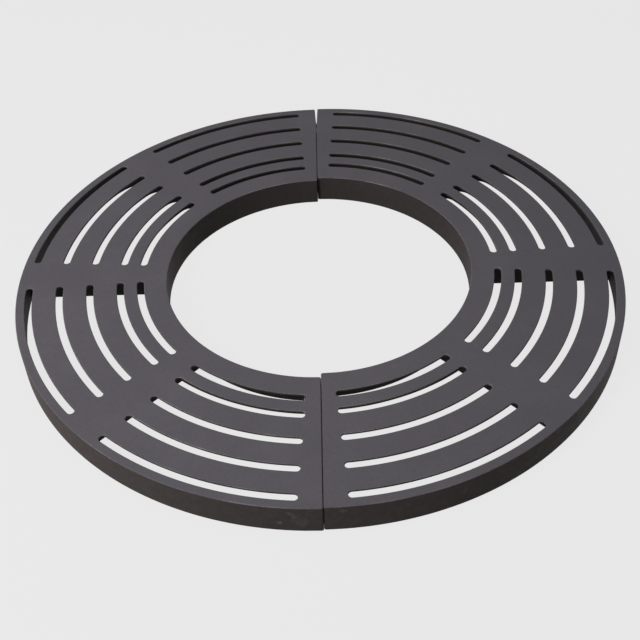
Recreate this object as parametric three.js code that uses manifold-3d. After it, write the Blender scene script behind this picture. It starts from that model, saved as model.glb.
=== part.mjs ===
// Round tree grate of cast iron, 1.2 m across, in two bolted halves.
// Millimetres, +Z up, origin on the ground in the middle of the trunk opening.
// The joint between the halves runs along Y.

import * as THREE from 'three';
import { mergeVertices } from 'three/addons/utils/BufferGeometryUtils.js';
import Module from 'manifold-3d';

// Driving dimensions of the grate. In each half the opening lies a little off the middle, along Y,
// and the rings of slots follow it less and less towards the rim.
const outerDiameter = 1200;
const openingDiameter = 608;
const openingShift = 4;
const castingDepth = 59;
const plateThickness = 5;
const edgeChamfer = 1.5;

// Slots, laid in rings from the opening outwards
const slotWidth = 16;
const openingLand = 44;
const narrowBar = 24;
const wideBar = 44;
const slotToRimSkirt = 2;

// Sectors: solid bands part the slots, and one band holds the joint at each end
const sectorsPerHalf = 4;
const bandAngle = THREE.MathUtils.degToRad(7.7);

// Skirts round the rim and round the opening, thinner at their lower edge
const rimSkirtRoot = 13;
const rimSkirtTip = 11;
const openingSkirtRoot = 8;
const openingSkirtTip = 5;

// Ribs under the bands and under the bars. Each half's middle band rib is the deepest. The bar ribs
// are arched: they get deeper towards each band rib.
const rootFillet = 4;
const bandRibRoot = 11;
const bandRibTip = 8;
const bandRibLiftAtRim = 3;
const bandRibLiftAtOpening = 14;
const middleRibLift = 2;
const wideBarRibRoot = 10;
const wideBarRibTip = 7;
const wideBarRibDepth = 24.5;
const narrowBarRibRoot = 7;
const narrowBarRibTip = 5;
const narrowBarRibDepth = 18.5;
const barRibArch = 9;
const archReach = THREE.MathUtils.degToRad(25);

// Joint walls, and how the two halves lie against each other
const jointWallRoot = 10;
const jointWallTip = 8;
const nearJointGap = 1.2;
const farJointGap = 2;
const jointSlip = 2;
const jointCornerRadius = 3;

// Joint bolts, with their pads on the joint walls
const boltPadDiameter = 32;
const boltPadRise = 2;
const boltDiameter = 12;
const boltHoleDiameter = 14;
const headAcrossFlats = 18;
const headHeight = 7.5;
const nutHeight = 10.8;
const washerDiameter = 24;
const washerBore = 13;
const washerThickness = 2.5;
const threadEndPastNut = 4;
const boltEndChamfer = 1;
const seatGap = 0.3;

// Fineness of the round forms
const stepsPerSector = 10;
const slotArcSteps = 8;
const slotEndSteps = 5;
const boltSides = 18;
const cornerSides = 20;
const cutOverrun = 5;

const outerRadius = outerDiameter / 2;
const openingRadius = openingDiameter / 2;
const sectorAngle = Math.PI / sectorsPerHalf;
const plateUnderside = castingDepth - plateThickness;
const ringSteps = 2 * sectorsPerHalf * stepsPerSector;

const wasm = await Module();
wasm.setup();

// Turns a closed geometry into a solid that can be joined and cut.
function toSolid(geometry) {
  const bare = geometry.index ? geometry.toNonIndexed() : geometry.clone();
  bare.deleteAttribute('normal');
  bare.deleteAttribute('uv');
  const merged = mergeVertices(bare);
  return new wasm.Manifold(new wasm.Mesh({
    numProp: 3,
    vertProperties: merged.attributes.position.array,
    triVerts: new Uint32Array(merged.index.array),
  }));
}

function toGeometry(solid) {
  const mesh = solid.getMesh();
  const geometry = new THREE.BufferGeometry();
  geometry.setAttribute('position', new THREE.BufferAttribute(mesh.vertProperties, 3));
  geometry.setIndex(new THREE.BufferAttribute(mesh.triVerts, 1));
  geometry.computeVertexNormals();
  return geometry;
}

// Full ring whose section is a closed list of [radius, height] pairs.
function ringGeometry(section) {
  const points = section.map(([radius, height]) => new THREE.Vector2(radius, height));
  points.push(points[0].clone());
  return new THREE.LatheGeometry(points, ringSteps).rotateX(Math.PI / 2);
}

// Bar that runs from one outline to another with as many points.
function loft(startOutline, endOutline) {
  const count = startOutline.length;
  const positions = [...startOutline, ...endOutline].flat();
  const faces = [];
  for (let i = 0; i < count; i += 1) {
    const next = (i + 1) % count;
    faces.push(i, next, count + next);
    faces.push(i, count + next, count + i);
  }
  for (let i = 1; i < count - 1; i += 1) {
    faces.push(0, i + 1, i);
    faces.push(count, count + i, count + i + 1);
  }
  const geometry = new THREE.BufferGeometry();
  geometry.setAttribute('position', new THREE.Float32BufferAttribute(positions, 3));
  geometry.setIndex(faces);
  return toSolid(geometry);
}

// Middle radii of the slot rings, from the opening to the rim.
function slotRadii() {
  const radii = [];
  let innerEdge = openingRadius + openingLand;
  while (innerEdge + slotWidth + slotToRimSkirt + rimSkirtRoot <= outerRadius) {
    radii.push(innerEdge + slotWidth / 2);
    const bar = radii.length === 1 ? narrowBar : wideBar;
    innerEdge += slotWidth + bar;
  }
  return radii;
}

// How far a ring of slots or a rib between two rings lies off the middle, along Y.
function ringShift(radius) {
  return openingShift * (outerRadius - radius) / (outerRadius - openingRadius);
}

// Points of an arc, without its last one, which starts the next arc of an outline.
function arcPoints(centreX, centreY, radius, from, to, steps) {
  const points = [];
  for (let i = 0; i < steps; i += 1) {
    const angle = from + (to - from) * i / steps;
    points.push(new THREE.Vector2(
      centreX + radius * Math.cos(angle), centreY + radius * Math.sin(angle),
    ));
  }
  return points;
}

// One long slot with round ends, centred on a radius and an angle.
function slotCutter(radius, middleAngle) {
  const endRadius = slotWidth / 2;
  const halfSpan = (sectorAngle - bandAngle) / 2 - Math.asin(endRadius / radius);
  const from = middleAngle - halfSpan;
  const to = middleAngle + halfSpan;
  const slotEnd = (angle, turn) => arcPoints(
    radius * Math.cos(angle), radius * Math.sin(angle), endRadius, turn, turn + Math.PI, slotEndSteps,
  );
  const outline = [
    ...arcPoints(0, 0, radius + endRadius, from, to, slotArcSteps),
    ...slotEnd(to, to),
    ...arcPoints(0, 0, radius - endRadius, to, from, slotArcSteps),
    ...slotEnd(from, from + Math.PI),
  ];
  const geometry = new THREE.ExtrudeGeometry(new THREE.Shape(outline), {
    depth: plateThickness + 2 * cutOverrun,
    bevelEnabled: false,
  });
  return toSolid(geometry.translate(0, ringShift(radius), plateUnderside - cutOverrun));
}

// Channel section: the plate with a skirt at the rim and one round the shifted opening.
function plateAndSkirts() {
  const geometry = ringGeometry([
    [outerRadius, 0],
    [outerRadius, castingDepth - edgeChamfer],
    [outerRadius - edgeChamfer, castingDepth],
    [openingRadius + edgeChamfer, castingDepth],
    [openingRadius, castingDepth - edgeChamfer],
    [openingRadius, 0],
    [openingRadius + openingSkirtTip, 0],
    [openingRadius + openingSkirtRoot, plateUnderside - rootFillet],
    [openingRadius + openingSkirtRoot + rootFillet, plateUnderside],
    [outerRadius - rimSkirtRoot - rootFillet, plateUnderside],
    [outerRadius - rimSkirtRoot, plateUnderside - rootFillet],
    [outerRadius - rimSkirtTip, 0],
  ]);
  const { position } = geometry.attributes;
  for (let i = 0; i < position.count; i += 1) {
    const isAtOpening = Math.hypot(position.getX(i), position.getY(i)) < openingRadius + openingLand;
    position.setY(i, position.getY(i) + (isAtOpening ? openingShift : 0));
  }
  return toSolid(geometry);
}

// Tapered section of a rib that hangs from the plate: [offset, height].
function ribSection(rootWidth, tipWidth, lowerEdge, fillet = 0) {
  const root = rootWidth / 2;
  const side = [[tipWidth / 2, lowerEdge]];
  if (fillet > 0) {
    side.push([root, plateUnderside - fillet]);
    side.push([root + fillet, plateUnderside]);
  }
  side.push([root + fillet, plateUnderside + plateThickness / 2]);
  const otherSide = side.map(([offset, height]) => [-offset, height]).reverse();
  return [...otherSide, ...side];
}

// How much deeper than at its shallowest a bar rib is at an angle. It meets no band rib at the joint.
function archDepth(angle) {
  const lastBand = sectorsPerHalf / 2 - 1;
  const band = THREE.MathUtils.clamp(Math.round(angle / sectorAngle), -lastBand, lastBand);
  const fromBand = Math.abs(angle - band * sectorAngle);
  return barRibArch * Math.max(0, 1 - fromBand / archReach) ** 2;
}

// Ring rib under the bar between two neighbouring rings of slots.
function barRib(innerSlotRadius, outerSlotRadius) {
  const middle = (innerSlotRadius + outerSlotRadius) / 2;
  const isNarrow = outerSlotRadius - innerSlotRadius - slotWidth < wideBar;
  const section = isNarrow
    ? ribSection(narrowBarRibRoot, narrowBarRibTip, castingDepth - narrowBarRibDepth)
    : ribSection(wideBarRibRoot, wideBarRibTip, castingDepth - wideBarRibDepth);
  const ring = ringGeometry(section.map(([offset, height]) => [middle + offset, height]));
  const { position } = ring.attributes;
  for (let i = 0; i < position.count; i += 1) {
    const height = position.getZ(i);
    const angle = Math.atan2(position.getY(i), position.getX(i));
    position.setZ(i, height - (height < plateUnderside ? archDepth(angle) : 0));
  }
  return toSolid(ring.translate(0, ringShift(middle), 0));
}

// Rib under a band, from skirt to skirt. Those beside the middle one are shallower towards the opening.
function bandRib(angle) {
  const innerEnd = openingRadius + openingSkirtTip / 2 + openingShift * Math.sin(angle);
  const outerEnd = outerRadius - rimSkirtTip / 2;
  const place = (radius, lowerEdge) => ribSection(bandRibRoot, bandRibTip, lowerEdge, rootFillet)
    .map(([offset, height]) => [radius, offset, height]);
  const [innerLift, outerLift] = Math.abs(angle) < sectorAngle / 2
    ? [middleRibLift, middleRibLift] : [bandRibLiftAtOpening, bandRibLiftAtRim];
  const rib = loft(place(innerEnd, innerLift), place(outerEnd, outerLift));
  return rib.rotate([0, 0, THREE.MathUtils.radToDeg(angle)]);
}

// Wall on the joint face, on the +Y or the -Y side of the opening.
function jointWall(side) {
  const innerEnd = side * (openingRadius + openingSkirtTip / 2) + openingShift;
  const outerEnd = side * (outerRadius - rimSkirtTip / 2);
  const top = castingDepth - plateThickness / 2;
  const outline = (y) => [
    [0, y, 0],
    [jointWallTip, y, 0],
    [jointWallRoot, y, plateUnderside - rootFillet],
    [jointWallRoot + rootFillet, y, plateUnderside],
    [jointWallRoot + rootFillet, y, top],
    [0, y, top],
  ];
  return side > 0
    ? loft(outline(outerEnd), outline(innerEnd))
    : loft(outline(innerEnd), outline(outerEnd));
}

// Cylinder that lies along X, from one x to another.
function rodAlongX(diameter, fromX, toX, sides) {
  return new THREE.CylinderGeometry(diameter / 2, diameter / 2, toX - fromX, sides)
    .rotateZ(-Math.PI / 2)
    .translate((fromX + toX) / 2, 0, 0);
}

// Rounds one end of the joint face: at the rim or at the opening, on +Y or on -Y.
function cornerCutter(side, atRim) {
  const outward = atRim ? 1 : -1;
  const edgeRadius = atRim ? outerRadius : openingRadius;
  const centreRadius = edgeRadius - outward * jointCornerRadius;
  const shift = atRim ? 0 : openingShift;
  const centreY = side * Math.sqrt(centreRadius ** 2 - jointCornerRadius ** 2) + shift;
  const reach = jointCornerRadius + cutOverrun;
  const tall = castingDepth + 2 * cutOverrun;
  const block = new THREE.BoxGeometry(reach, reach, tall)
    .translate(jointCornerRadius - reach / 2, centreY + side * outward * reach / 2, castingDepth / 2);
  const kept = new THREE.CylinderGeometry(jointCornerRadius, jointCornerRadius, 2 * tall, cornerSides)
    .rotateX(Math.PI / 2)
    .translate(jointCornerRadius, centreY, castingDepth / 2);
  return toSolid(block).subtract(toSolid(kept));
}

// Distances of the joint bolts from the middle: no pad reaches into a skirt.
const boltReaches = {
  inner: openingRadius + openingShift + openingSkirtRoot + boltPadDiameter / 2,
  outer: outerRadius - rimSkirtRoot - boltPadDiameter / 2,
};

// Flat pad on the joint wall for the washer of one bolt.
const padFace = jointWallRoot + boltPadRise;

function boltPad(y) {
  const pad = rodAlongX(boltPadDiameter, jointWallTip / 2, padFace, boltSides);
  return toSolid(pad.translate(0, y, castingDepth / 2));
}

// Bolt hole, drawn out along the joint by the play that the halves need.
function boltHole(y) {
  const fromX = -cutOverrun;
  const toX = padFace + cutOverrun;
  const end = (offset) => toSolid(rodAlongX(boltHoleDiameter, fromX, toX, boltSides)
    .translate(0, y + offset, castingDepth / 2));
  const middle = new THREE.BoxGeometry(toX - fromX, jointSlip, boltHoleDiameter)
    .translate((fromX + toX) / 2, y, castingDepth / 2);
  return end(-jointSlip / 2).add(end(jointSlip / 2)).add(toSolid(middle));
}

// One half of the grate as a single casting, on the +X side of its joint face.
function halfCasting() {
  const radii = slotRadii();
  let rings = plateAndSkirts();
  for (let i = 1; i < radii.length; i += 1) {
    rings = rings.add(barRib(radii[i - 1], radii[i]));
  }
  const halfBox = new THREE.BoxGeometry(outerDiameter, 2 * outerDiameter, 2 * outerDiameter)
    .translate(outerRadius, 0, 0);
  let casting = rings.intersect(toSolid(halfBox));
  for (let sector = 1; sector < sectorsPerHalf; sector += 1) {
    casting = casting.add(bandRib(sector * sectorAngle - Math.PI / 2));
  }
  for (const side of [-1, 1]) {
    casting = casting.add(jointWall(side));
    casting = casting.subtract(cornerCutter(side, true)).subtract(cornerCutter(side, false));
    for (const reach of Object.values(boltReaches)) {
      casting = casting.add(boltPad(side * reach)).subtract(boltHole(side * reach));
    }
  }
  for (let sector = 0; sector < sectorsPerHalf; sector += 1) {
    const middleAngle = (sector + 0.5) * sectorAngle - Math.PI / 2;
    for (const radius of radii) {
      casting = casting.subtract(slotCutter(radius, middleAngle));
    }
  }
  return toGeometry(casting);
}

function hexPrism(fromX, toX) {
  const acrossCorners = headAcrossFlats / Math.cos(Math.PI / 6);
  return toSolid(rodAlongX(acrossCorners, fromX, toX, 6));
}

// Hexagon bolt that points along -X, with its head's seat at x = 0.
function hexBolt(shankLength) {
  const plain = rodAlongX(boltDiameter, boltEndChamfer - shankLength, headHeight / 2, boltSides);
  const tip = new THREE.CylinderGeometry(
    boltDiameter / 2, boltDiameter / 2 - boltEndChamfer, boltEndChamfer, boltSides,
  ).rotateZ(-Math.PI / 2).translate(boltEndChamfer / 2 - shankLength, 0, 0);
  return toGeometry(hexPrism(0, headHeight).add(toSolid(plain)).add(toSolid(tip)));
}

function hexNut() {
  const bore = rodAlongX(boltDiameter + 2 * seatGap, -nutHeight - cutOverrun, cutOverrun, boltSides);
  return toGeometry(hexPrism(-nutHeight, 0).subtract(toSolid(bore)));
}

function washer() {
  const disc = rodAlongX(washerDiameter, 0, washerThickness, boltSides);
  const bore = rodAlongX(washerBore, -cutOverrun, washerThickness + cutOverrun, boltSides);
  return toGeometry(toSolid(disc).subtract(toSolid(bore)));
}

// Materials: dark coated iron for the castings, dull zinc for the fasteners
const castIron = new THREE.MeshStandardMaterial({ color: 0x3c393c, roughness: 0.62, metalness: 0.35 });
const zincSteel = new THREE.MeshStandardMaterial({ color: 0x8b8d8e, roughness: 0.42, metalness: 0.9 });

function addPiece(parent, name, geometry, material, position = [0, 0, 0]) {
  const mesh = new THREE.Mesh(geometry, material);
  mesh.name = name;
  mesh.position.set(...position);
  parent.add(mesh);
  return mesh;
}

// The right half carries the bolt heads, and the left half, turned round, the nuts.
const grate = new THREE.Group();
const spread = Math.atan((farJointGap - nearJointGap) / 2 / outerDiameter);
const middleGap = (nearJointGap + farJointGap) / 2;
const castingGeometry = halfCasting();

const rightHalf = new THREE.Group();
rightHalf.position.set(middleGap / 2, jointSlip / 2, 0);
rightHalf.rotation.z = -spread;
grate.add(rightHalf);
addPiece(rightHalf, 'right_half_casting', castingGeometry, castIron);

const leftHalf = new THREE.Group();
leftHalf.position.set(-middleGap / 2, -jointSlip / 2, 0);
leftHalf.rotation.z = Math.PI + spread;
grate.add(leftHalf);
addPiece(leftHalf, 'left_half_casting', castingGeometry, castIron);

const washerSeat = padFace + seatGap;
const hexSeat = washerSeat + washerThickness + seatGap;
const shankLength = 2 * hexSeat + farJointGap + nutHeight + threadEndPastNut;
for (const [end, side] of [['near', -1], ['far', 1]]) {
  for (const [depth, reach] of Object.entries(boltReaches)) {
    const name = `${end}_${depth}`;
    const rightY = side * reach - jointSlip / 2;
    const leftY = -side * reach - jointSlip / 2;
    const height = castingDepth / 2;
    addPiece(rightHalf, `${name}_bolt`, hexBolt(shankLength), zincSteel, [hexSeat, rightY, height]);
    addPiece(rightHalf, `${name}_head_washer`, washer(), zincSteel, [washerSeat, rightY, height]);
    addPiece(leftHalf, `${name}_nut_washer`, washer(), zincSteel, [washerSeat, leftY, height]);
    const nut = addPiece(leftHalf, `${name}_nut`, hexNut(), zincSteel, [hexSeat, leftY, height]);
    nut.rotation.z = Math.PI;
  }
}

export default grate;
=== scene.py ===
import math

import bmesh
import bpy
from mathutils import Matrix, Vector


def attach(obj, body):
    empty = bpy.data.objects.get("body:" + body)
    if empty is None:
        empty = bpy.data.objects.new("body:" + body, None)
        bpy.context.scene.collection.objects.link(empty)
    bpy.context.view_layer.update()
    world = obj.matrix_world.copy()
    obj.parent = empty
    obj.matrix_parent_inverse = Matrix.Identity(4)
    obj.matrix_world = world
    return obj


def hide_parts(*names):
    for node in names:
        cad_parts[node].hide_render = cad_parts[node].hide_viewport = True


# Round tree grate of cast iron in two bolted halves, 1.2 m across, seen on a pale floor.
# Metres, +Z up; the joint between the halves runs along Y, with its closer end at -Y.

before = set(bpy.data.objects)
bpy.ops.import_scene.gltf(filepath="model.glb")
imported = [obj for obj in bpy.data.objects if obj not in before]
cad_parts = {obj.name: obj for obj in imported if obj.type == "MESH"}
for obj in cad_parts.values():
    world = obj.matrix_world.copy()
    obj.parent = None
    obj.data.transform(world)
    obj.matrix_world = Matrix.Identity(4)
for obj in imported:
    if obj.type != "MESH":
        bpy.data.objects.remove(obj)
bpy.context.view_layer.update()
mm = 0.001


# Half casting, body. One pour of grey iron in sand: a plate 5 mm thick with a deep skirt at the
# rim, one round the opening and a wall on the joint face, all thinner towards the lower edge so
# that the pattern draws. It is made here on the +X side of its joint face.
rim_radius = 600 * mm
opening_radius = 304 * mm
opening_shift = 4 * mm
depth = 59 * mm
plate_thickness = 5 * mm
plate_underside = depth - plate_thickness
skirt_tip = 8 * mm
skirt_draft = 2 * mm
opening_skirt_thinner = 3 * mm
rim_skirt_thicker = 3 * mm
corner_radius = 3 * mm
hollow_corner_radius = 6 * mm
room_for_hollow_corner = 1.2 * hollow_corner_radius
top_edge_radius = 2 * mm
lower_edge_radius = 1.2 * mm
root_fillet = 4 * mm
arc_steps = 120
flush = 0.001 * mm
close = 1 * mm
flat_angle = 0.1
edge_angle = 0.6
corner_angle = 1


def turned(bm, start, angle, steps, axis=(0, 0, 1)):
    """Sweeps edges or a face round an axis through the origin."""
    bmesh.ops.spin(bm, geom=start, cent=(0, 0, 0), axis=axis, angle=angle, steps=steps,
                   use_merge=angle == math.tau, use_normal_flip=False, use_duplicate=False)


def rounded(bm, parts, radius, segments, affect="EDGES"):
    return bmesh.ops.bevel(bm, geom=parts, offset=radius, offset_type="OFFSET", segments=segments,
                           profile=0.5, affect=affect, clamp_overlap=False, material=-1)


def only(kind, parts):
    return [part for part in parts if isinstance(part, kind)]


def verts_of(faces):
    return list(dict.fromkeys(v for f in faces for v in f.verts))


def edges_at(bm, height):
    """Edges at one height where the surface turns."""
    return [e for e in bm.edges
            if all(abs(v.co.z - height) < flush for v in e.verts) and len(e.link_faces) == 2
            and e.calc_face_angle() > edge_angle]


body = bmesh.new()
inner = body.verts.new((0, -opening_radius, 0))
outer = body.verts.new((0, -rim_radius, 0))
turned(body, [body.edges.new((inner, outer)), inner, outer], math.pi, arc_steps)
for vert in body.verts:
    if vert.co.length < (opening_radius + rim_radius) / 2:
        vert.co.y += opening_shift
beside_joint = skirt_tip + skirt_draft + room_for_hollow_corner
bmesh.ops.dissolve_verts(body, verts=[v for v in body.verts if close < v.co.x < beside_joint])
raised = bmesh.ops.extrude_face_region(body, geom=body.faces[:])["geom"]
bmesh.ops.translate(body, vec=(0, 0, depth), verts=only(bmesh.types.BMVert, raised))
bmesh.ops.recalc_face_normals(body, faces=body.faces)

hollow = [f for f in body.faces if f.calc_center_median().z < close]
bmesh.ops.inset_region(body, faces=hollow, thickness=skirt_tip, use_even_offset=True,
                       use_boundary=True)
for vert in verts_of(hollow):
    from_middle = vert.co - Vector((0, opening_shift, 0))
    if from_middle.length < opening_radius + 2 * skirt_tip:
        vert.co -= from_middle.normalized() * opening_skirt_thinner
    if vert.co.length > rim_radius - 2 * skirt_tip:
        vert.co -= vert.co.normalized() * rim_skirt_thicker
bmesh.ops.inset_region(body, faces=hollow, thickness=skirt_draft, use_even_offset=True,
                       use_boundary=True)
bmesh.ops.translate(body, vec=(0, 0, plate_underside), verts=verts_of(hollow))
mitres = [e for e in body.edges
          if all(v.co.z < close and v.co.x < 1.5 * skirt_tip for v in e.verts)
          and e.calc_face_angle() < flat_angle]
bmesh.ops.dissolve_edges(body, edges=mitres)

upright = [e for e in body.edges
           if abs(e.verts[0].co.z - e.verts[1].co.z) > depth / 2
           and e.calc_face_angle() > corner_angle]
in_hollow = [e for e in upright if min(v.co.x for v in e.verts) > skirt_tip / 2]
rounded(body, [e for e in upright if e not in in_hollow], corner_radius, segments=4)
rounded(body, in_hollow, hollow_corner_radius, segments=5)
rounded(body, edges_at(body, plate_underside), root_fillet, segments=4)
rounded(body, edges_at(body, depth), top_edge_radius, segments=4)
rounded(body, edges_at(body, 0), lower_edge_radius, segments=2)


# Half casting, ribs and bolt pads. They are in the same mould: a deep rib under each band, the
# middle one the deepest, a shallower one under each bar between two rings of slots, deeper again
# towards the bands, and a round pad for each joint bolt. Roots are filleted, as molten iron needs.
slot_radii = [356 * mm, 396 * mm, 456 * mm, 516 * mm, 576 * mm]
narrow_bar_rib = dict(root=7 * mm, tip=5 * mm, drop=14 * mm, fillet=3 * mm)
wide_bar_rib = dict(root=10 * mm, tip=7 * mm, drop=20 * mm, fillet=3 * mm)
bar_rib_arch = 9 * mm
arch_beside_middle_band = math.radians(25)
arch_beyond_side_band = math.radians(31)
bar_rib_corner = 24 * mm
corner_before_side_band = math.radians(7.5)
outermost_corner_before_side_band = math.radians(12)
side_band_rib = dict(root=11 * mm, tip=8 * mm, drop=40 * mm, fillet=4 * mm)
middle_band_rib = dict(side_band_rib, drop=52 * mm)
side_rib_deeper_at_rim = 11 * mm
into_opening_skirt = skirt_tip / 3
into_rim_skirt = skirt_tip / 2
sector = math.pi / 4
buried = 0.3 * mm
end_angle = math.radians(0.5)
bolt_pad_radius = 16 * mm
bolt_pad_face = 12 * mm
bolt_pad_buried = 4 * mm
bolt_pad_edge_radius = 1 * mm
bolt_pad_steps = 48
bolt_reaches = [332 * mm, 571 * mm]
bolt_height = depth / 2


def hung_section(bm, place, root, tip, drop, fillet):
    """Section of a rib under the plate: a stem that hangs down, and a flange inside the plate."""
    flange = root / 2 + fillet + buried
    corners = [(-tip / 2, -drop), (tip / 2, -drop), (root / 2, buried), (flange, buried),
               (flange, plate_thickness / 2), (-flange, plate_thickness / 2), (-flange, buried),
               (-root / 2, buried)]
    verts = [bm.verts.new(place @ Vector((0, across, up))) for across, up in corners]
    bm.faces.new(verts)
    for pair, radius in ((verts[:2], lower_edge_radius), ((verts[2], verts[7]), fillet)):
        made = rounded(bm, list(pair), radius, segments=3, affect="VERTICES")
    face = made["verts"][0].link_faces[0]
    return [face, *face.edges, *face.verts]


def follow_opening(bm, rings):
    """Moves each ring along the joint, as far as the pattern's rings follow the opening there."""
    for vert in bm.verts:
        ring = min(rings, key=lambda radius: abs(vert.co.xy.length - radius))
        vert.co.y += opening_shift * (rim_radius - ring) / (rim_radius - opening_radius)


bar_ribs = bmesh.new()
bar_radii = [(inner_slot + outer_slot) / 2
             for inner_slot, outer_slot in zip(slot_radii, slot_radii[1:])]
sections = []
for radius in bar_radii:
    sizes = narrow_bar_rib if radius == bar_radii[0] else wide_bar_rib
    middle = Matrix.Translation((0, -radius, plate_underside))
    sections += hung_section(bar_ribs, Matrix.Rotation(end_angle, 4, "Z") @ middle, **sizes)
turned(bar_ribs, sections, math.pi - 2 * end_angle, arc_steps)
for vert in bar_ribs.verts:
    if vert.co.z < plate_underside - narrow_bar_rib["drop"] / 2:
        angle = abs(math.atan2(vert.co.y, vert.co.x))
        if angle > sector:
            arch = 1 - (angle - sector) / arch_beyond_side_band
        else:
            arch = 1 - angle / arch_beside_middle_band
            outermost = vert.co.xy.length > bar_radii[-1] - wide_bar_rib["root"]
            corner_reach = (outermost_corner_before_side_band if outermost
                            else corner_before_side_band)
            corner = 1 - (sector - angle) / corner_reach
            vert.co.z -= bar_rib_corner * max(0, corner) ** 2
        vert.co.z -= bar_rib_arch * max(0, arch) ** 2
follow_opening(bar_ribs, bar_radii)
bmesh.ops.recalc_face_normals(bar_ribs, faces=bar_ribs.faces)

band_ribs = bmesh.new()
for angle, sizes, deeper_at_rim in ((-sector, side_band_rib, side_rib_deeper_at_rim),
                                    (0, middle_band_rib, 0),
                                    (sector, side_band_rib, side_rib_deeper_at_rim)):
    outwards = Matrix.Rotation(angle, 4, "Z")
    start = opening_radius + opening_shift * math.sin(angle) + into_opening_skirt
    reach = rim_radius - into_rim_skirt - start
    place = outwards @ Matrix.Translation((start, 0, plate_underside))
    section = hung_section(band_ribs, place, **sizes)
    end = bmesh.ops.extrude_face_region(band_ribs, geom=section)["geom"]
    end_verts = only(bmesh.types.BMVert, end)
    bmesh.ops.translate(band_ribs, vec=outwards @ Vector((reach, 0, 0)), verts=end_verts)
    low_verts = [v for v in end_verts if v.co.z < plate_underside - sizes["drop"] / 2]
    bmesh.ops.translate(band_ribs, vec=(0, 0, -deeper_at_rim), verts=low_verts)
bmesh.ops.recalc_face_normals(band_ribs, faces=band_ribs.faces)

bolt_pads = bmesh.new()
along_x = Matrix.Rotation(math.pi / 2, 4, "Y")
bolt_stations = [side * reach for side in (-1, 1) for reach in bolt_reaches]
for station in bolt_stations:
    middle = Matrix.Translation(((bolt_pad_face + bolt_pad_buried) / 2, station, bolt_height))
    bmesh.ops.create_cone(bolt_pads, cap_ends=True, segments=bolt_pad_steps,
                          radius1=bolt_pad_radius, radius2=bolt_pad_radius,
                          depth=bolt_pad_face - bolt_pad_buried, matrix=middle @ along_x)
pad_rims = [e for e in bolt_pads.edges if all(v.co.x > bolt_pad_face - flush for v in e.verts)]
rounded(bolt_pads, pad_rims, bolt_pad_edge_radius, segments=3)


# Half casting, slots and bolt holes. The slots are cored in the mould, so their edges are rounded
# above and below; the bolt holes are drawn out along the joint by the play of the halves. Then
# all shapes of the half are joined into one mesh, and both shapes of hole are cut out of it.
slot_width = 16 * mm
slot_lip = 1.5 * mm
band_angle = math.radians(7.7)
slot_steps = 24
lip_tilts = [math.radians(tilt) for tilt in (75, 50, 25, 0)]
bolt_hole_radius = 7 * mm
bolt_hole_steps = 32
bolt_play = 2 * mm
overrun = 5 * mm
hair = 0.01 * mm
slot_tip_merge = 0.1 * mm
sliver = 0.005 * mm
straight_angle = 0.001
smooth_below = math.radians(38)


def everything(bm):
    return bm.verts[:] + bm.edges[:] + bm.faces[:]


slot_cores = bmesh.new()
plate_face = plate_thickness / 2
half_slot = slot_width / 2
strips = []
for radius in slot_radii:
    ends = [slot_cores.verts.new((radius + across, 0, plate_face + overrun))
            for across in (-half_slot, half_slot)]
    strips += [*ends, slot_cores.edges.new(ends)]
turned(slot_cores, strips, sector - band_angle, slot_steps)
bmesh.ops.dissolve_faces(slot_cores, faces=slot_cores.faces, use_verts=False)
corners = [v for v in slot_cores.verts if v.calc_edge_angle() > corner_angle]
rounded(slot_cores, corners, half_slot - hair, segments=6, affect="VERTICES")
bmesh.ops.remove_doubles(slot_cores, verts=slot_cores.verts, dist=slot_tip_merge)
made = bmesh.ops.extrude_face_region(slot_cores, geom=slot_cores.faces[:])["geom"]
core_ends = only(bmesh.types.BMFace, made)
height = plate_face + overrun
for tilt, tilt_above in zip(lip_tilts, [lip_tilts[0], *lip_tilts]):
    if tilt < tilt_above:
        narrower = slot_lip * (math.cos(tilt) - math.cos(tilt_above))
        bmesh.ops.inset_region(slot_cores, faces=core_ends, thickness=narrower,
                               use_even_offset=True, use_boundary=True)
    drop = plate_face - slot_lip * (1 - math.sin(tilt)) - height
    bmesh.ops.translate(slot_cores, vec=(0, 0, drop), verts=verts_of(core_ends))
    height += drop
core_ends = bmesh.ops.extrude_discrete_faces(slot_cores, faces=core_ends)["faces"]
bmesh.ops.translate(slot_cores, vec=(0, 0, -height), verts=verts_of(core_ends))
bmesh.ops.delete(slot_cores, geom=core_ends, context="FACES_ONLY")
bmesh.ops.mirror(slot_cores, geom=everything(slot_cores), merge_dist=hair, axis="Z")
bmesh.ops.recalc_face_normals(slot_cores, faces=slot_cores.faces)
bmesh.ops.translate(slot_cores, vec=(0, 0, plate_underside + plate_face), verts=slot_cores.verts)
first_sector = Matrix.Rotation(-2 * sector + band_angle / 2, 3, "Z")
bmesh.ops.rotate(slot_cores, cent=(0, 0, 0), verts=slot_cores.verts, matrix=first_sector)
bmesh.ops.spin(slot_cores, geom=everything(slot_cores), cent=(0, 0, 0), axis=(0, 0, 1),
               angle=3 * sector, steps=3, use_duplicate=True)
follow_opening(slot_cores, slot_radii)

bolt_holes = bmesh.new()
for station in bolt_stations:
    middle = Matrix.Translation((bolt_pad_face / 2, station, bolt_height))
    hole = bmesh.ops.create_cone(bolt_holes, cap_ends=True, segments=bolt_hole_steps,
                                 radius1=bolt_hole_radius, radius2=bolt_hole_radius,
                                 depth=bolt_pad_face + 2 * overrun, matrix=middle @ along_x)
    for vert in hole["verts"]:
        vert.co.y += math.copysign(bolt_play / 2, vert.co.y - station)


def as_object(name, mesh):
    thing = bpy.data.objects.new(name, mesh)
    bpy.context.scene.collection.objects.link(thing)
    return thing


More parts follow.
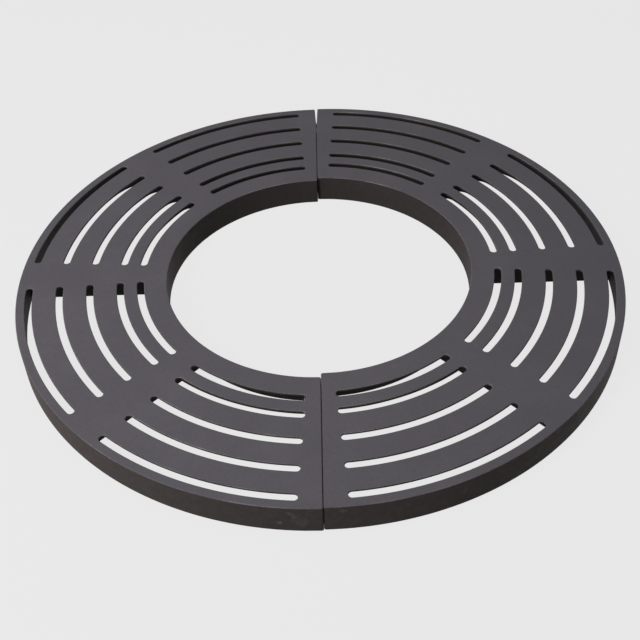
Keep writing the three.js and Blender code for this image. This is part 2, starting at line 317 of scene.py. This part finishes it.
def without_slivers(bm):
    """Merges points that all but touch, and drops those in the middle of a straight edge."""
    bmesh.ops.remove_doubles(bm, verts=bm.verts, dist=sliver)
    bmesh.ops.dissolve_degenerate(bm, edges=bm.edges, dist=sliver)
    in_line = [v for v in bm.verts
               if len(v.link_edges) == 2 and v.calc_edge_angle() < straight_angle]
    bmesh.ops.dissolve_verts(bm, verts=in_line)


def joined(name, first, *steps):
    """Adds shapes to a first one or cuts them out of it, and gives the mesh that comes of it."""
    things = []
    for shape in [first] + [shape for _, shape in steps]:
        mesh = bpy.data.meshes.new(name)
        shape.to_mesh(mesh)
        shape.free()
        things.append(as_object(name, mesh))
    for (operation, _), thing in zip(steps, things[1:]):
        step = things[0].modifiers.new(operation, "BOOLEAN")
        step.object = thing
        step.operation = operation
        step.solver = "EXACT"
        step.use_hole_tolerant = True
    finished = things[0].evaluated_get(bpy.context.evaluated_depsgraph_get())
    made = bpy.data.meshes.new_from_object(finished)
    for thing in things:
        bpy.data.objects.remove(thing)
    shape = bmesh.new()
    shape.from_mesh(made)
    without_slivers(shape)
    shape.to_mesh(made)
    shape.free()
    for face in made.polygons:
        face.use_smooth = True
    made.set_sharp_from_angle(angle=smooth_below)
    return made


half_mesh = joined("half_casting", body, ("UNION", bar_ribs), ("UNION", band_ribs),
                   ("UNION", bolt_pads), ("DIFFERENCE", slot_cores), ("DIFFERENCE", bolt_holes))


# The two castings. They come out of one pattern and lie head to tail, so the left one is the right
# one turned round, and they have slid 1 mm each along the joint. Their faces all but touch there,
# and at the far rim the fitter has ground both corners back. A matt dark coat covers them all over.
near_joint_gap = 1.2 * mm
far_joint_gap = 2 * mm
coated_gap = 0.2 * mm
joint_face_strip = top_edge_radius + 1.5 * mm
drawn_together_within = 2 * skirt_tip
ground_back = 3.2 * mm
ground_from = 526 * mm
spread = math.atan((far_joint_gap - near_joint_gap) / 4 / rim_radius)
apart = (near_joint_gap + far_joint_gap) / 4
right_place = Matrix.Translation((apart, bolt_play / 2, 0)) @ Matrix.Rotation(-spread, 4, "Z")
left_place = (Matrix.Translation((-apart, -bolt_play / 2, 0))
              @ Matrix.Rotation(math.pi + spread, 4, "Z"))


class Signal:
    """A socket of a material's nodes. Sums, differences and products of signals add Math nodes."""

    def __init__(self, tree, socket=None):
        self.tree = tree
        self.socket = socket

    def node(self, kind, settings=None, inputs=None, output=0):
        """Adds any node: its settings first, then the values or links of its sockets."""
        node = self.tree.nodes.new("ShaderNode" + kind)
        for name, value in (settings or {}).items():
            setattr(node, name, value)
        for name, value in (inputs or {}).items():
            if isinstance(value, Signal):
                self.tree.links.new(value.socket, node.inputs[name])
            else:
                node.inputs[name].default_value = value
        return Signal(self.tree, node.outputs[output] if len(node.outputs) else None)

    def maths(self, operation, *values):
        return self.node("Math", {"operation": operation}, dict(enumerate(values)))

    def __add__(self, other):
        return self.maths("ADD", self, other)

    def __mul__(self, other):
        return self.maths("MULTIPLY", self, other)

    def __sub__(self, other):
        return self.maths("SUBTRACT", self, other)

    def __rsub__(self, other):
        return self.maths("SUBTRACT", other, self)

    __radd__ = __add__
    __rmul__ = __mul__

    def between(self, low, high):
        """0 up to low, 1 from high on, and a smooth rise between."""
        return self.node("MapRange", {"interpolation_type": "SMOOTHSTEP"},
                         {"Value": self, "From Min": low, "From Max": high})

    def blend(self, start, end):
        """A colour that goes from start to end as this signal goes from 0 to 1."""
        return self.node("Mix", {"data_type": "RGBA"}, {0: self, 6: start, 7: end}, output=2)

    def noise(self, place, scale, detail, roughness=0.5):
        return self.node("TexNoise", None, {"Vector": place, "Scale": scale, "Detail": detail,
                                            "Roughness": roughness})


def material(name):
    made = bpy.data.materials.new(name)
    made.use_nodes = True
    made.node_tree.nodes.clear()
    return made, Signal(made.node_tree)


coat = (0.103, 0.0945, 0.1085, 1)
coat_thin = (0.127, 0.1165, 0.130, 1)
# Painted shade: the darker, warmer colour given to walls that face sideways, for the light they get
# less of than the top.
coat_shaded_on_walls = (0.060, 0.050, 0.046, 1)
coat_rubbed = (0.19, 0.182, 0.188, 1)
iron_bare = (0.24, 0.23, 0.225, 1)
# Painted shade: a near-black colour, and how strongly it is laid under the plate, on the opening's
# wall and along the joint.
painted_shade_colour = (0.012, 0.011, 0.011, 1)
shade_under_plate = 0.85
shade_on_opening_wall = 0.42
shade_in_joint = 0.8

# Scuffs on the near wall and then beside the near slots: middle and reach in mm, and strength.
scuffs = [((-52, -598, 42), 9, 0.8), ((-72, -596, 20), 8, 1), ((-21, -600, 52), 8, 0.5),
          ((-36, -599, 26), 22, 0.4), ((31, -599, 49), 7, 0.6), ((231, -553, 36), 10, 0.5),
          ((76, -369, 59), 26, 0.3), ((134, -285, 59), 12, 0.3), ((104, -372, 59), 16, 0.2),
          ((-12, -302, 59), 12, 0.5)]

cast_iron, nodes = material("coated_cast_iron")
place = nodes.node("TexCoord", output="Object")
across, along, height = (nodes.node("SeparateXYZ", None, {0: place}, output=axis)
                         for axis in "XYZ")
facing = nodes.node("NewGeometry", output="Normal")
upward = nodes.node("SeparateXYZ", None, {0: facing}, output="Z")
clouds = nodes.noise(place, scale=9, detail=3)
blotches = nodes.noise(place, scale=70, detail=3, roughness=0.6)
sand = nodes.noise(place, scale=420, detail=3, roughness=0.65)
fine_sand = nodes.noise(place, scale=1500, detail=1)

thinness = clouds.between(0.35, 0.75) * 0.45 + blotches.between(0.3, 0.8) * 0.35
colour = thinness.blend(coat, coat_thin)
side = 1 - upward.between(0.1, 0.8)
# Painted shade: walls that face sideways are darkened and warmed towards their shaded colour.
colour = (side * (0.7 + blotches * 0.5)).blend(colour, coat_shaded_on_walls)
for centre, reach, strength in scuffs:
    spot = tuple(value * mm for value in centre)
    away = nodes.node("VectorMath", {"operation": "DISTANCE"}, {0: place, 1: spot}, output="Value")
    ragged = away + (blotches - 0.5) * reach * 3 * mm
    scuff = 1 - ragged.between(0.1 * reach * mm, reach * mm)
    colour = (scuff * sand.between(0.35, 0.7) * strength).blend(colour, coat_rubbed)

top_edge = upward.between(0.15, 0.5) * (1 - upward.between(0.8, 0.97))
top_edge = top_edge * height.between(depth - 4 * mm, depth - 2.5 * mm)
worn = top_edge * (clouds * 0.8 + sand * 0.6).between(0.55, 0.95)
colour = (worn * 0.55).blend(colour, iron_bare)

from_middle = nodes.maths("SQRT", across * across + along * along)
# Painted shade under the plate, between the two skirts, where the casting shades its own inside.
under_plate = 1 - height.between(depth - 6 * mm, depth - 2 * mm)
past_opening_skirt = from_middle.between(opening_radius + 6 * mm, opening_radius + 12 * mm)
past_rim_skirt = from_middle.between(rim_radius - 10 * mm, rim_radius - 4 * mm)
between_skirts = past_opening_skirt * (1 - past_rim_skirt)
# Painted shade on the wall round the opening, which stands in shade down in the hole.
beyond_opening = from_middle.between(opening_radius + 4 * mm, opening_radius + 7 * mm)
on_opening_wall = side * (1 - beyond_opening)
# Painted shade along the joint, for the shadow in the gap between the halves.
in_joint = 1 - nodes.maths("ABSOLUTE", across).between(0.5 * mm, 1.8 * mm)
# Painted shade: the strongest of the three masks darkens the colour towards the shade colour.
shade_amount = nodes.maths("MAXIMUM", under_plate * between_skirts * shade_under_plate,
                    on_opening_wall * shade_on_opening_wall)
shade_amount = nodes.maths("MAXIMUM", shade_amount, in_joint * shade_in_joint)
colour = shade_amount.blend(colour, painted_shade_colour)

grain = 1 + ((sand - 0.5) * 0.55 + (fine_sand - 0.5) * 0.45)
grain_grey = nodes.node("CombineColor", None, {0: grain, 1: grain, 2: grain})
colour = nodes.node("Mix", {"data_type": "RGBA", "blend_type": "MULTIPLY"},
                    {0: 1.0, 6: colour, 7: grain_grey}, output=2)
roughness = 0.66 + (blotches - 0.5) * 0.18 + (sand - 0.5) * 0.16 - worn * 0.2 + side * 0.1
skin = nodes.node("Bump", None, {"Strength": 0.55, "Distance": 0.35 * mm,
                                 "Height": sand * 0.7 + fine_sand * 0.3})
waves = nodes.node("Bump", None, {"Strength": 0.5, "Distance": 0.8 * mm, "Height": blotches,
                                  "Normal": skin})
surface = nodes.node("BsdfPrincipled", None, {
    "Base Color": colour, "Roughness": roughness, "Metallic": worn * 0.5,
    "Specular IOR Level": 0.2, "Normal": waves}, output="BSDF")
nodes.node("OutputMaterial", None, {"Surface": surface})

for half, place_of_half in (("right", right_place), ("left", left_place)):
    shape = bmesh.new()
    shape.from_mesh(half_mesh)
    shape.transform(place_of_half)
    faces = [f for f in shape.faces if all(abs(v.co.x) < joint_face_strip for v in f.verts)]
    edges = list(dict.fromkeys(e for f in faces for e in f.edges))
    bmesh.ops.bisect_plane(shape, geom=faces + edges + verts_of(faces), dist=hair,
                           plane_co=(0, ground_from, 0), plane_no=(0, 1, 0))
    for vert in shape.verts:
        from_joint = abs(vert.co.x)
        if from_joint < drawn_together_within:
            gap_here = 2 * apart + 2 * math.tan(spread) * vert.co.y
            ground = max(0, (vert.co.y - ground_from) / (rim_radius - ground_from))
            move = (coated_gap - gap_here) / 2 + ground_back * ground
            move *= 1 - from_joint / drawn_together_within
            vert.co.x += math.copysign(1, vert.co.x) * move
    mesh = half_mesh.copy()
    shape.to_mesh(mesh)
    shape.free()
    mesh.materials.clear()
    mesh.materials.append(cast_iron)
    casting = as_object(half + "_casting", mesh)
    weighting = casting.modifiers.new("weighted_normals", "WEIGHTED_NORMAL")
    weighting.keep_sharp = True
    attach(casting, "root")
    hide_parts(half + "_half_casting")


# Joint bolts. Four M12 hexagon bolts of zinc-plated steel go through both joint walls under the
# plate, with their heads on the right half. The head is forged with a chamfered top and a washer
# face, and the end is threaded.
bolt_radius = 6 * mm
across_flats = 18 * mm
head_height = 7.5 * mm
head_chamfer_radius = 8.5 * mm
chamfer_angle = math.radians(30)
washer_face_radius = 8.3 * mm
washer_face_height = 0.4 * mm
bolt_length = 47 * mm
thread_length = 30 * mm
thread_pitch = 1.75 * mm
thread_depth = 0.95 * mm
thread_rows = 6
thread_facets = 24
bolt_end_chamfer = 1 * mm
washer_thickness = 2.5 * mm
seat_gap = 0.3 * mm
washer_seat = bolt_pad_face + seat_gap
hex_seat = washer_seat + washer_thickness + seat_gap


def lathed(points, steps=48):
    """A shape turned round the X axis from points that each give a place along it and a radius."""
    bm = bmesh.new()
    verts = [bm.verts.new((along, 0, radius)) for along, radius in points]
    edges = [bm.edges.new(pair) for pair in zip(verts, verts[1:])]
    turned(bm, verts + edges, math.tau, steps, axis=(1, 0, 0))
    bmesh.ops.remove_doubles(bm, verts=bm.verts, dist=flush)
    bmesh.ops.recalc_face_normals(bm, faces=bm.faces)
    return bm


def hexagon(height):
    bm = bmesh.new()
    sixth_turn = math.tau / 6
    corner = across_flats / 2 / math.cos(sixth_turn / 2)
    place = (Matrix.Translation((height / 2, 0, 0)) @ along_x
             @ Matrix.Rotation(sixth_turn / 2, 4, "Z"))
    bmesh.ops.create_cone(bm, cap_ends=True, segments=6, radius1=corner, radius2=corner,
                          depth=height, matrix=place)
    return bm


beyond_corners = across_flats * 0.6
chamfer_run = (beyond_corners - head_chamfer_radius) * math.tan(chamfer_angle)
head_shape = lathed([(0, 0), (0, washer_face_radius), (washer_face_height, washer_face_radius),
                     (washer_face_height, beyond_corners),
                     (head_height - chamfer_run, beyond_corners),
                     (head_height, head_chamfer_radius), (head_height, 0)])
thread_start = thread_length - bolt_length
rows = round(thread_length / thread_pitch) * thread_rows
shank_points = [(head_height / 2, 0), (head_height / 2, bolt_radius)]
shank_points += [(thread_start - row * (thread_length - bolt_end_chamfer) / rows, bolt_radius)
                 for row in range(rows + 1)]
shank_points += [(-bolt_length, bolt_radius - bolt_end_chamfer), (-bolt_length, 0)]
shank = lathed(shank_points, thread_facets)
for vert in shank.verts:
    into_thread = thread_start - vert.co.x
    if 0 < into_thread < thread_length - bolt_end_chamfer / 2:
        turns = into_thread / thread_pitch - math.atan2(vert.co.z, vert.co.y) / math.tau
        groove = 1 - abs(2 * (turns % 1) - 1)
        cut = thread_depth * min(1, into_thread / thread_pitch) * groove
        vert.co.yz = vert.co.yz * (1 - cut / bolt_radius)
bolt_mesh = joined("hex_bolt", hexagon(head_height), ("INTERSECT", head_shape), ("UNION", shank))

zinc = (0.47, 0.48, 0.49, 1)
zinc_dull = (0.33, 0.335, 0.335, 1)
zinc_chalky = (0.55, 0.55, 0.53, 1)

zinc_steel, nodes = material("dull_zinc")
place = nodes.node("TexCoord", output="Object")
grains = nodes.node("TexVoronoi", None, {"Vector": place, "Scale": 650}, output="Distance")
patches = nodes.noise(place, scale=160, detail=3, roughness=0.6)
specks = nodes.noise(place, scale=1800, detail=2)
chalk = (patches * 0.7 + specks * 0.4).between(0.58, 0.78)
colour = (patches.between(0.3, 0.7) * 0.7 + grains * 0.5).blend(zinc_dull, zinc)
colour = (chalk * 0.6).blend(colour, zinc_chalky)
roughness = 0.36 + patches * 0.2 + chalk * 0.2
skin = nodes.node("Bump", None, {"Strength": 0.35, "Distance": 0.12 * mm,
                                 "Height": grains * 0.6 + specks * 0.4})
surface = nodes.node("BsdfPrincipled", None, {
    "Base Color": colour, "Roughness": roughness, "Metallic": 0.92 - chalk * 0.5,
    "Normal": skin}, output="BSDF")
nodes.node("OutputMaterial", None, {"Surface": surface})


def fastener(name, mesh, place_of_half, seat, along_joint, replaced):
    """Seats a copy of a bolt, washer or nut on one half; the play has moved it from its station."""
    made = mesh.copy()
    place = Matrix.Translation((seat, along_joint - bolt_play / 2, bolt_height))
    made.transform(place_of_half @ place)
    made.materials.clear()
    made.materials.append(zinc_steel)
    thing = as_object(name, made)
    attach(thing, "root")
    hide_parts(replaced)


station_names = ["near_inner", "near_outer", "far_inner", "far_outer"]
for name, station in zip(station_names, bolt_stations):
    fastener(name + "_hex_bolt", bolt_mesh, right_place, hex_seat, station, name + "_bolt")


# Washers. Flat rings 24 mm across, stamped from sheet and zinc-plated, one under each bolt head
# and one under each nut. Stamping rounds the edge on one face.
washer_radius = 12 * mm
washer_bore_radius = 6.5 * mm
stamped_edge = 0.5 * mm
lower_edge = 0.1 * mm
stamped_corner = 0.3 * stamped_edge
washer_mesh = joined("washer", lathed([
    (0, washer_bore_radius), (0, washer_radius - lower_edge), (lower_edge, washer_radius),
    (washer_thickness - stamped_edge, washer_radius),
    (washer_thickness - stamped_corner, washer_radius - stamped_corner),
    (washer_thickness, washer_radius - stamped_edge),
    (washer_thickness, washer_bore_radius + stamped_edge / 2),
    (washer_thickness - stamped_edge / 2, washer_bore_radius), (0, washer_bore_radius)]))
for name, station in zip(station_names, bolt_stations):
    fastener(name + "_washer_by_head", washer_mesh, right_place, washer_seat, station,
             name + "_head_washer")
    fastener(name + "_washer_by_nut", washer_mesh, left_place, washer_seat, -station,
             name + "_nut_washer")


# Nuts. Hexagon nuts of zinc-plated steel on the left half's side, chamfered on both faces, with
# a countersunk bore.
nut_height = 10.8 * mm
nut_bore_radius = 6.3 * mm
countersink_radius = 6.9 * mm
countersink = countersink_radius - nut_bore_radius
beyond_nut = 1 * mm
nut_shape = lathed([(0, 0), (0, head_chamfer_radius), (chamfer_run, beyond_corners),
                    (nut_height - chamfer_run, beyond_corners),
                    (nut_height, head_chamfer_radius), (nut_height, 0)])
nut_bore = lathed([(-beyond_nut, 0), (-beyond_nut, countersink_radius), (0, countersink_radius),
                   (countersink, nut_bore_radius), (nut_height - countersink, nut_bore_radius),
                   (nut_height, countersink_radius),
                   (nut_height + beyond_nut, countersink_radius), (nut_height + beyond_nut, 0)])
nut_mesh = joined("hex_nut", hexagon(nut_height), ("INTERSECT", nut_shape),
                  ("DIFFERENCE", nut_bore))
for name, station in zip(station_names, bolt_stations):
    fastener(name + "_hex_nut", nut_mesh, left_place, hex_seat, -station, name + "_nut")


# Floor. Plain pale paper that runs past the view on all sides. The camera, and gloss, see it as
# one even pale grey with the soft shadow of the grate; towards the iron it gives back little light.
paper_grey = (0.812, 0.812, 0.812, 1)
paper_glow = 0.957
paper_in_light = (0.045, 0.045, 0.045, 1)
paper_for_bounce = (0.12, 0.12, 0.12, 1)
paper_size = 9
below_grate = 0.1 * mm


def seen_directly(nodes):
    """1 for what the camera, gloss or glass sees, and 0 for the light that things give back."""
    camera_ray, glossy_ray, clear_ray = (
        nodes.node("LightPath", output="Is " + kind + " Ray")
        for kind in ("Camera", "Glossy", "Transmission"))
    return nodes.maths("MINIMUM", camera_ray + glossy_ray + clear_ray, 1)


paper, nodes = material("pale_paper")
glow = nodes.node("Emission", None, {"Color": paper_grey, "Strength": paper_glow})
lit = nodes.node("BsdfDiffuse", None, {"Color": paper_in_light})
seen = nodes.node("AddShader", None, {0: glow, 1: lit})
unseen = nodes.node("BsdfDiffuse", None, {"Color": paper_for_bounce})
surface = nodes.node("MixShader", None, {0: seen_directly(nodes), 1: unseen, 2: seen})
nodes.node("OutputMaterial", None, {"Surface": surface})
sheet = bmesh.new()
bmesh.ops.create_grid(sheet, x_segments=1, y_segments=1, size=paper_size)
bmesh.ops.translate(sheet, vec=(0, 0, -below_grate), verts=sheet.verts)
floor_mesh = bpy.data.meshes.new("floor")
sheet.to_mesh(floor_mesh)
sheet.free()
floor_mesh.materials.append(paper)
floor = as_object("floor", floor_mesh)


# Light. Two large soft lamps, overhead and over the left shoulder, give the flat top its tone, two
# low ones at the left show the round of the skirts, and the room gives a weak even light.
room_light = 0.07
scene = bpy.context.scene


def soft_lamp(name, position, width, power):
    """A round lamp that points at the foot of the grate's middle."""
    lamp = bpy.data.lights.new(name, "AREA")
    lamp.shape = "DISK"
    lamp.size = width
    lamp.energy = power
    thing = bpy.data.objects.new(name, lamp)
    towards = -Vector(position)
    turn = towards.to_track_quat("-Z", "Y").to_matrix().to_4x4()
    thing.matrix_world = Matrix.Translation(position) @ turn
    scene.collection.objects.link(thing)


soft_lamp("overhead", (0, 0, 2.8), width=1.6, power=22)
soft_lamp("left_shoulder", (-1.7, -1.7, 2.0), width=1.2, power=45)
soft_lamp("low_left", (-2.6, 0.3, 0.8), width=1.0, power=14)
soft_lamp("low_near_left", (-1.9, -2.3, 0.7), width=1.0, power=5)

room = bpy.data.worlds.new("room")
room.use_nodes = True
room.node_tree.nodes.clear()
nodes = Signal(room.node_tree)
strength = room_light + seen_directly(nodes) * (1 - room_light)
background = nodes.node("Background", None, {"Color": paper_grey, "Strength": strength})
nodes.node("OutputWorld", None, {"Surface": background})
scene.world = room
scene.view_settings.view_transform = "Standard"


# Camera. It stands 2.1 m off and looks down by 43 degrees, from a little to the right of the
# joint's line, and leans by 2 degrees. A lens of about 58 mm takes in the whole grate.
photo_width = 640
focal_pixels = 1037.6
sensor_width = 36
lean = math.radians(-2.24)
eye = Vector((20.8, -1608.1, 1393.4)) * mm
aim = Vector((0.3, -159.1, 59.0)) * mm
lens = bpy.data.cameras.new("camera")
lens.sensor_width = sensor_width
lens.lens = sensor_width * focal_pixels / photo_width
camera = bpy.data.objects.new("camera", lens)
turn = (aim - eye).to_track_quat("-Z", "Y").to_matrix().to_4x4()
camera.matrix_world = Matrix.Translation(eye) @ turn @ Matrix.Rotation(lean, 4, "Z")
scene.collection.objects.link(camera)
scene.camera = camera
